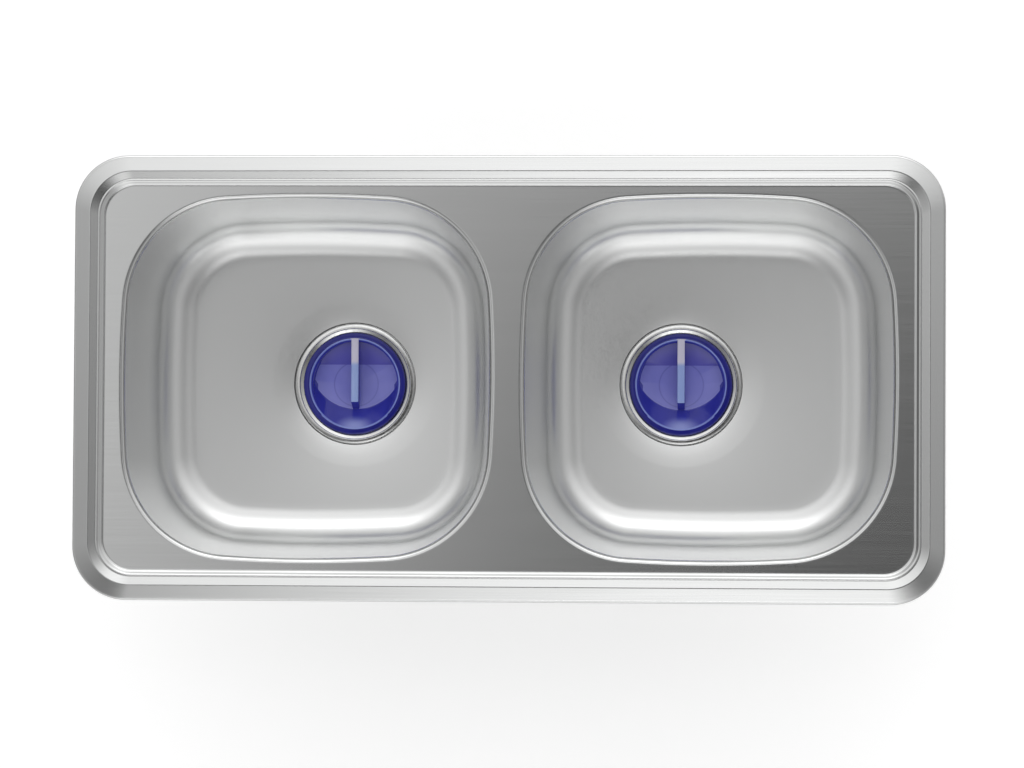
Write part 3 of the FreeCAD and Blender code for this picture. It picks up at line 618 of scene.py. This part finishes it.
# Painted glow: the slanting wall lightens towards its thin front.
paint_light_by_place(blue_wall_painted_light, off_painted_glow, 12 * mm, 1 * mm, (0.4, 0.46, 0.92), 0.8)
# Painted highlight: a light line along the pocket's thin upper edge.
paint_light_by_place(blue_wall_painted_light, off_mouth_edge, 1.5 * mm, 0.3 * mm, (0.32, 0.4, 0.9), 0.8)

for side, centre_x in drain_x.items():
    plug = solid_spin([
        (0, hub_bottom, 0),
        (hub_radius, hub_bottom, 0.6 * mm),
        (hub_radius, plug_underside, 0.6 * mm),
        (skirt_radius, plug_underside, 1 * mm),
        (skirt_radius, rim_under, 0.5 * mm),
        (plug_radius, rim_under, 0.6 * mm),
        (plug_radius, plug_top, 1.5 * mm),
        (0, plug_top, 0),
    ])
    pocket = solid_spin([
        (0, plug_floor, 0),
        (pocket_radius, plug_floor, 1.2 * mm),
        (pocket_radius, -150.9 * mm, 0.5 * mm),
        (42.2 * mm, -148.1 * mm, 0.2 * mm),
        (43.2 * mm, -147.3 * mm, 0.2 * mm),
        (pocket_mouth, -146.3 * mm, 0),
        (pocket_mouth, above_plug, 0),
        (0, above_plug, 0),
    ])
    pocket = carve(pocket, scoop_solid(), "INTERSECT")
    rise = add_block((-50 * mm, 0, -20 * mm), (50 * mm, 60 * mm, 0))
    tilt = Matrix.Translation((0, step_start, plug_floor)) @ Matrix.Rotation(step_tilt, 4, "X")
    bmesh.ops.transform(rise, matrix=tilt, verts=rise.verts)
    pocket = carve(pocket, rise, "DIFFERENCE")
    rib = add_block((-rib_width / 2, -30 * mm, plug_floor - 2 * mm),
                    (rib_width / 2, 45 * mm, rib_top))
    front = bmesh.ops.bisect_plane(rib, geom=rib.verts[:] + rib.edges[:] + rib.faces[:],
                                   plane_co=rib_front, plane_no=rib_front_slope, clear_outer=True)
    cut = [item for item in front["geom_cut"] if isinstance(item, bmesh.types.BMEdge)]
    bmesh.ops.holes_fill(rib, edges=cut, sides=8)
    upper = [edge for edge in rib.edges if max(v.co.z for v in edge.verts) > plug_top - 1 * mm
             and abs(edge.verts[0].co.x - edge.verts[1].co.x) < 1e-6]
    ease_edges(rib, upper, 1.1 * mm, 4)
    pocket = carve(pocket, rib, "DIFFERENCE")
    plug = carve(plug, pocket, "DIFFERENCE")
    # Each face takes a lit copy of the blue by where it lies and which way it faces: painted light.
    for face in plug.faces:
        middle = face.calc_center_median()
        distance = math.hypot(middle.x, middle.y)
        if distance > 43.4 * mm or middle.z < plug_floor - 1 * mm:
            continue
        if abs(middle.x) < 3.6 * mm and middle.z > plug_top - 2.2 * mm and middle.y > -18 * mm:
            tone = blue_rib_painted_light
        elif 42.1 * mm < distance < 43.3 * mm and middle.z > -148.4 * mm:
            tone = blue_edge_painted_highlight
        elif face.normal.z > 0.95 and abs(middle.x) > 3.4 * mm:
            tone = blue_step_painted_light if middle.y > 18.6 * mm and face.normal.z < 0.999 else blue_floor_painted_sheen
        else:
            tone = blue_wall_painted_light
        face.material_index = blue_tones.index(tone)
    bmesh.ops.translate(plug, vec=(centre_x, 0, 0), verts=plug.verts)
    piece = finish_piece("plug_moulding_" + side, plug, blue_plastic, "plug_" + side,
                         ["plug_" + side], 25)
    for tone in blue_tones[1:]:
        piece.data.materials.append(tone)

# ---- Plug seals ------------------------------------------------------------------------------
# A black rubber ring is stretched on under each plug's rim. It seals on the flange's flat seat
# and lifts with the plug.

seal_low = -153.3 * mm
seal_inner, seal_outer = 44.2 * mm, 48 * mm

black_rubber, shader = add_material("black_rubber", (0.012, 0.012, 0.013), 0.0, 0.55)
shader.inputs["IOR"].default_value = 1.52
rubber_grain = add_grain(black_rubber, (900, 900, 900), 4)
vary_color(black_rubber, shader, rubber_grain, (0.008, 0.008, 0.009), (0.018, 0.018, 0.019))
vary(black_rubber, shader, rubber_grain, "Roughness", 0.45, 0.65)
emboss(black_rubber, shader, rubber_grain, 0.15, 0.05 * mm)


def turned_ring(corners, centre_x, steps=128):
    """A closed ring turned from (radius, height, rounding) corners that begin mid-side."""
    ring = bmesh.new()
    spin_section(ring, soft_section(corners + corners[:1]), 0, steps)
    bmesh.ops.recalc_face_normals(ring, faces=ring.faces)
    bmesh.ops.translate(ring, vec=(centre_x, 0, 0), verts=ring.verts)
    return ring


for side, centre_x in drain_x.items():
    seal = turned_ring([
        (46 * mm, seal_low, 0),
        (seal_outer, seal_low, 0.45 * mm),
        (seal_outer, rim_under, 0.2 * mm),
        (seal_inner, rim_under, 0.2 * mm),
        (seal_inner, seal_low, 0.45 * mm),
    ], centre_x)
    finish_piece("seal_ring_" + side, seal, black_rubber, "plug_" + side,
                 ["plug_seal_" + side])

# ---- Waste gaskets ---------------------------------------------------------------------------
# A thick rubber washer between each bowl's underside and the waste's body, squeezed by the
# clamping screw so that its edge bulges a little. It is the same black rubber.

bowl_underside = -155.2 * mm
body_top = -158.2 * mm
body_radius = 56 * mm
gasket_bore = 45.3 * mm

for side, centre_x in drain_x.items():
    gasket = turned_ring([
        (50 * mm, body_top, 0),
        (body_radius, body_top, 0.9 * mm),
        (body_radius, bowl_underside, 0.9 * mm),
        (gasket_bore, bowl_underside, 0.3 * mm),
        (gasket_bore, body_top, 0.3 * mm),
    ], centre_x)
    finish_piece("gasket_washer_" + side, gasket, black_rubber, "root",
                 ["waste_gaskets"] if side == "left" else [])

# ---- Waste bodies ----------------------------------------------------------------------------
# The white polypropylene body hangs under each bowl: a flange with ribs below it, a chamber round
# the strainer cup, and an outlet with a coarse thread for the trap. A spider in it holds the
# clamping screw's boss. It is injection moulded, so its edges are soft and its skin faintly waxy.

white_plastic, shader = add_material("white_plastic", (0.78, 0.78, 0.76), 0.0, 0.4)
shader.inputs["IOR"].default_value = 1.49
moulding_grain = add_grain(white_plastic, (160, 160, 160), 5)
vary_color(white_plastic, shader, moulding_grain, (0.74, 0.74, 0.72), (0.8, 0.8, 0.785))
vary(white_plastic, shader, moulding_grain, "Roughness", 0.34, 0.48)
emboss(white_plastic, shader, moulding_grain, 0.12, 0.06 * mm)

chamber_floor = -202.4 * mm
chamber_bottom = -205.4 * mm
chamber_bore, chamber_radius = 46 * mm, 49 * mm
flange_underside = -162.2 * mm
outlet_end = -239.4 * mm
outlet_bore, outlet_radius = 20 * mm, 23.9 * mm
boss_top = -192.4 * mm
boss_bottom = boss_top - 20 * mm
boss_bore, boss_radius = 3.05 * mm, 7 * mm
flange_ribs = 16
spider_arms = 3


def thread_line(crest, root, low, high, pitch):
    """Corners of a threaded side from low to high, ready for a turned outline."""
    corners = []
    for groove in range(int((high - low) / pitch)):
        start = low + groove * pitch
        for radius, share in ((crest, 0.2), (root, 0.5), (root, 0.65), (crest, 0.95)):
            corners.append((radius, start + share * pitch, 0.1 * pitch))
    return corners


def join_part(mesh, part):
    """Adds one bmesh to another, and lets it go."""
    data = bpy.data.meshes.new("joined_part")
    part.to_mesh(data)
    part.free()
    mesh.from_mesh(data)
    bpy.data.meshes.remove(data)


for side, centre_x in drain_x.items():
    outlet_thread = thread_line(outlet_radius, 22.6 * mm, outlet_end + 1 * mm, -211 * mm,
                                2.3 * mm)
    body = turned_ring([
        (48 * mm, body_top, 0),
        (chamber_bore, body_top, 0.3 * mm),
        (chamber_bore, chamber_floor, 1.5 * mm),
        (outlet_bore, chamber_floor, 1 * mm),
        (outlet_bore, outlet_end, 0.5 * mm),
        (outlet_radius - 0.5 * mm, outlet_end, 0.5 * mm),
    ] + outlet_thread + [
        (outlet_radius, chamber_bottom, 1 * mm),
        (chamber_radius, chamber_bottom, 2.4 * mm),
        (chamber_radius, flange_underside, 1 * mm),
        (body_radius, flange_underside, 0.8 * mm),
        (body_radius, body_top, 0.8 * mm),
    ], 0, 112)
    holder = turned_ring([
        (5 * mm, boss_top, 0),
        (boss_radius, boss_top, 0.6 * mm),
        (boss_radius, boss_bottom, 0.6 * mm),
        (boss_bore, boss_bottom, 0.2 * mm),
        (boss_bore, boss_top, 0.2 * mm),
    ], 0, 48)
    join_part(body, holder)
    for index in range(flange_ribs + spider_arms):
        if index < flange_ribs:
            rib = add_block((48.4 * mm, -0.9 * mm, -169 * mm), (54.5 * mm, 0.9 * mm, -161.8 * mm))
            foot = [vert for vert in rib.verts if vert.co.z < -165 * mm and vert.co.x > 50 * mm]
            bmesh.ops.translate(rib, vec=(-5 * mm, 0, 0), verts=foot)
            angle = turn * index / flange_ribs
        else:
            rib = add_block((6 * mm, -1.5 * mm, boss_bottom), (20.6 * mm, 1.5 * mm, -200.4 * mm))
            angle = turn * (index - flange_ribs) / spider_arms
        ease_edges(rib, rib.edges[:], 0.4 * mm)
        about = Matrix.Rotation(angle, 3, "Z")
        bmesh.ops.rotate(rib, cent=(0, 0, 0), matrix=about, verts=rib.verts)
        join_part(body, rib)
    bmesh.ops.translate(body, vec=(centre_x, 0, 0), verts=body.verts)
    finish_piece("waste_body_" + side, body, white_plastic, "root",
                 ["waste_bodies"] if side == "left" else [])

# ---- Waste screws ----------------------------------------------------------------------------
# A slotted stainless screw stands in the middle of each strainer. It clamps flange, bowl, gasket
# and body together, and is of the flange's own spun steel.

screw_end = -215.4 * mm
screw_head_top = -188.4 * mm
shank_radius = 3 * mm
screw_head_radius = 6 * mm

for side, centre_x in drain_x.items():
    screw = solid_spin([
        (0, screw_end, 0),
        (2.4 * mm, screw_end, 0.2 * mm),
    ] + thread_line(shank_radius, 2.5 * mm, -215 * mm, -193.4 * mm, 1 * mm) + [
        (shank_radius, cup_bottom, 0),
        (screw_head_radius, cup_bottom, 0.3 * mm),
        (screw_head_radius, -189.6 * mm, 0.6 * mm),
        (3.4 * mm, screw_head_top, 1 * mm),
        (0, screw_head_top, 0),
    ], 48)
    slot = add_block((-8 * mm, -0.6 * mm, -189.9 * mm), (8 * mm, 0.6 * mm, -180 * mm))
    screw = carve(screw, slot, "DIFFERENCE")
    bmesh.ops.translate(screw, vec=(centre_x, 0, 0), verts=screw.verts)
    finish_piece("waste_screw_" + side, screw, spun_steel, "root",
                 ["waste_screws"] if side == "left" else [])

# ---- Damping pads ----------------------------------------------------------------------------
# A stiff grey bitumen pad is stuck under the wide half of each bowl's floor, to quieten water that
# falls on it. It is die cut from sheet, with a rough skin and slightly rounded edges.

damping_pad, shader = add_material("damping_pad", (0.05, 0.05, 0.052), 0.0, 0.85)
pad_grain = add_grain(damping_pad, (500, 500, 500), 6)
vary_color(damping_pad, shader, pad_grain, (0.035, 0.035, 0.037), (0.075, 0.075, 0.077))
vary(damping_pad, shader, pad_grain, "Roughness", 0.75, 0.95)
emboss(damping_pad, shader, pad_grain, 0.5, 0.25 * mm)


def soften(name, node, width, material, body):
    """A copy of a CAD piece with its sharp edges eased, which stands for it."""
    shape = bmesh.new()
    shape.from_mesh(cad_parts[node].data)
    bmesh.ops.remove_doubles(shape, verts=shape.verts, dist=0.005 * mm)
    bmesh.ops.dissolve_limit(shape, angle_limit=math.radians(1), use_dissolve_boundaries=False,
                             verts=shape.verts, edges=shape.edges, delimit=set())
    sharp = [edge for edge in shape.edges if len(edge.link_faces) == 2 and
             edge.calc_face_angle() > math.radians(35)]
    ease_edges(shape, sharp, width)
    return finish_piece(name, shape, material, body, [node])


for side, drain in drain_x.items():
    pad = soften("damping_pad_" + side, "sound_pad_" + side, 0.5 * mm, damping_pad, "root")
    for vert in pad.data.vertices:
        vert.co.z += floor_rise(Vector((vert.co.x, 0)), drain)

# ---- Rim seal --------------------------------------------------------------------------------
# A strip of pale closed-cell foam is glued round under the rim and is squeezed against the
# worktop, its top following the rim's slope. It has fine cells and a matt skin.

rim_underside = 2.75 * mm
rim_slope = 0.13

foam_seal, shader = add_material("foam_seal", (0.32, 0.32, 0.31), 0.0, 0.95)
foam_cells = add_grain(foam_seal, (1100, 1100, 1100), 2)
vary_color(foam_seal, shader, foam_cells, (0.24, 0.24, 0.235), (0.4, 0.4, 0.39))
vary(foam_seal, shader, foam_cells, "Roughness", 0.85, 1.0)
emboss(foam_seal, shader, foam_cells, 0.6, 0.3 * mm)
strip = soften("foam_strip", "rim_seal", 0.8 * mm, foam_seal, "root")
for vert in strip.data.vertices:
    across = max(abs(vert.co.x) - sink_length / 2 + outer_corner, 0)
    along = max(abs(vert.co.y) - sink_width / 2 + outer_corner, 0)
    inset = outer_corner - math.hypot(across, along)
    vert.co.z = min(vert.co.z, rim_underside + rim_slope * inset)

# ---- Rails and clip brackets -----------------------------------------------------------------
# Four rails of J section are spot welded under the rim, and six folded brackets hook on them.
# All are zinc plated steel sheet, with a faint mottle in the plating and eased edges.

zinc_steel, shader = add_material("zinc_steel", (0.52, 0.53, 0.53), 1.0, 0.4)
mottle = add_grain(zinc_steel, (260, 260, 260), 3)
vary_color(zinc_steel, shader, mottle, (0.44, 0.45, 0.44), (0.6, 0.6, 0.58))
vary(zinc_steel, shader, mottle, "Roughness", 0.3, 0.48)
emboss(zinc_steel, shader, mottle, 0.1, 0.05 * mm)

for side in ("front", "back", "left", "right"):
    soften("hook_rail_" + side, "rail_" + side, 0.25 * mm, zinc_steel, "root")
soften("brackets", "clip_brackets", 0.3 * mm, zinc_steel, "root")

# ---- Clip claws and screws -------------------------------------------------------------------
# Each clip's forked claw swings on the bracket's pin, and its screw pushes the claw up against
# the worktop. Both are zinc plated; the screw has a chamfered hexagon head.

clip_places = ("front_left", "front_right", "back_left", "back_right", "left", "right")
head_height = 4 * mm
head_corner = 4.6 * mm
head_chamfer = 3.8 * mm
thread_radius = 2.5 * mm

for place in clip_places:
    soften("claw_" + place, "clip_claw_" + place, 0.35 * mm, zinc_steel, "clip_claw_" + place)
    low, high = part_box("clip_screw_" + place)
    middle_x, middle_y = (low[0] + high[0]) / 2, (low[1] + high[1]) / 2
    bottom, top = low[2], high[2]
    head_top = bottom + head_height
    thread = thread_line(thread_radius, 2.05 * mm, head_top + 1 * mm, top - 0.5 * mm, 0.8 * mm)
    screw = solid_spin([
        (0, top, 0),
        (1.9 * mm, top, 0.2 * mm),
    ] + thread[::-1] + [
        (thread_radius, head_top - 0.5 * mm, 0),
        (0, head_top - 0.5 * mm, 0),
    ], 24, 1)
    head = bmesh.new()
    lift = Matrix.Translation((0, 0, bottom + head_height / 2)) @ Matrix.Rotation(turn / 12, 4, "Z")
    bmesh.ops.create_cone(head, cap_ends=True, segments=6, radius1=4.5 * mm, radius2=4.5 * mm,
                          depth=head_height, matrix=lift)
    chamfer = solid_spin([
        (0, bottom, 0),
        (head_chamfer, bottom, 0),
        (head_corner, bottom + 0.6 * mm, 0),
        (head_corner, head_top - 0.6 * mm, 0),
        (head_chamfer, head_top, 0),
        (0, head_top, 0),
    ], 48, 1)
    join_part(screw, carve(head, chamfer, "INTERSECT"))
    bmesh.ops.translate(screw, vec=(middle_x, middle_y, 0), verts=screw.verts)
    finish_piece("hexagon_screw_" + place, screw, zinc_steel, "clip_screw_" + place,
                 ["clip_screw_" + place], 25)

# ---- Stage -----------------------------------------------------------------------------------
# The sink hangs just above a white floor, in soft studio light, with the camera nearly straight
# above it. The floor shows white to the camera and in the steel, and keeps the sink's shadow.

ground_height = -241 * mm

floor = bmesh.new()
place = Matrix.Translation((0, 0, ground_height))
bmesh.ops.create_grid(floor, x_segments=1, y_segments=1, size=6, matrix=place)
data = bpy.data.meshes.new("floor")
floor.to_mesh(data)
floor.free()
ground = bpy.data.objects.new("floor", data)
bpy.context.scene.collection.objects.link(ground)
white, shader = add_material("white_floor", (0.86, 0.86, 0.86), 0.0, 0.8)
shader.inputs["Specular IOR Level"].default_value = 0.1
nodes, links = white.node_tree.nodes, white.node_tree.links
lift = nodes.new("ShaderNodeEmission")
lift.inputs["Strength"].default_value = 0.5
seen = nodes.new("ShaderNodeLightPath")
choice = nodes.new("ShaderNodeMixShader")
both = nodes.new("ShaderNodeAddShader")
links.new(shader.outputs["BSDF"], both.inputs[0])
links.new(lift.outputs["Emission"], both.inputs[1])
direct = math_node(white, "MAXIMUM", seen.outputs["Is Camera Ray"], seen.outputs["Is Glossy Ray"])
direct = math_node(white, "MAXIMUM", direct, seen.outputs["Is Transmission Ray"])
links.new(direct, choice.inputs["Fac"])
links.new(shader.outputs["BSDF"], choice.inputs[1])
links.new(both.outputs["Shader"], choice.inputs[2])
links.new(choice.outputs["Shader"], nodes["Material Output"].inputs["Surface"])
data.materials.append(white)

# How brightly the studio shines towards each side of the sink (degrees round from its right end),
# at angles from straight up (0) down to the horizon (90). Its dark middle is round the camera.
angles = (0, 5, 10, 18, 30, 50, 70, 90)
studio = {
    0: (0.05, 0.0, 0.25, 0.45, 0.15, 0.52, 0.43, 0.1),
    45: (0.05, 0.0, 0.25, 0.9, 0.66, 1.05, 0.6, 0.1),
    90: (0.1, 0.1, 1.0, 1.5, 0.72, 2.5, 1.25, 0.2),
    135: (0.1, 0.15, 0.55, 1.2, 0.6, 1.15, 0.5, 0.1),
    180: (0.1, 0.3, 0.95, 0.35, 0.44, 0.65, 0.15, 0.1),
    225: (0.1, 0.05, 0.05, 0.15, 0.2, 0.7, 0.4, 0.1),
    270: (0.1, 0.0, 0.0, 2.25, 0.5, 1.5, 0.9, 0.2),
    315: (0.1, 0.0, 0.0, 0.2, 0.2, 0.55, 0.35, 0.1),
}
brightest = 4

world = bpy.data.worlds.new("studio")
world.use_nodes = True
nodes, links = world.node_tree.nodes, world.node_tree.links


def calculate(operation, *values):
    """A Math node of the world, and its result."""
    return math_node(world, operation, *values)


direction = nodes.new("ShaderNodeTexCoord")
parts = nodes.new("ShaderNodeSeparateXYZ")
links.new(direction.outputs["Generated"], parts.inputs["Vector"])
x, y, z = (parts.outputs[axis] for axis in "XYZ")
above = calculate("MAXIMUM", z, 0.0)
from_top = calculate("DIVIDE", calculate("ARCCOSINE", above), turn / 4)
level = calculate("ADD", calculate("MULTIPLY", x, x), calculate("MULTIPLY", y, y))
level = calculate("MAXIMUM", level, 1e-6)
total = 0.0
# Each side's glow fades out 45 degrees to either hand, where its neighbours take over.
for side, glows in studio.items():
    east = calculate("MULTIPLY", x, math.cos(math.radians(side)))
    north = calculate("MULTIPLY", y, math.sin(math.radians(side)))
    toward = calculate("MAXIMUM", calculate("ADD", east, north), 0.0)
    aligned = calculate("DIVIDE", calculate("MULTIPLY", toward, toward), level)
    share = calculate("SUBTRACT", calculate("MULTIPLY", aligned, 2.0), 1.0)
    share = calculate("MAXIMUM", share, 0.0)
    ramp = nodes.new("ShaderNodeValToRGB")
    ramp.name = "side_" + str(side)
    while len(ramp.color_ramp.elements) < len(angles):
        ramp.color_ramp.elements.new(0.5)
    for element, angle, glow in zip(ramp.color_ramp.elements, angles, glows):
        element.position = angle / 90
        element.color = (glow / brightest, glow / brightest, glow / brightest, 1)
    links.new(from_top, ramp.inputs["Fac"])
    shine = calculate("MULTIPLY", calculate("MULTIPLY", share, share), ramp.outputs["Color"])
    total = calculate("ADD", shine, total)
nodes["Background"].inputs["Color"].default_value = (1, 1, 1, 1)
links.new(calculate("MULTIPLY", total, brightest), nodes["Background"].inputs["Strength"])
bpy.context.scene.world = world

camera_data = bpy.data.cameras.new("camera")
camera_data.sensor_width = 36
camera_data.lens = 143.13
camera_data.clip_end = 20
camera = bpy.data.objects.new("camera", camera_data)
camera.location = (0.2563, -0.1335, 3.7141)
camera.rotation_euler = (math.radians(2.0), math.radians(3.862), math.radians(0.328))
bpy.context.scene.collection.objects.link(camera)
bpy.context.scene.camera = camera
bpy.context.scene.view_settings.view_transform = "Standard"
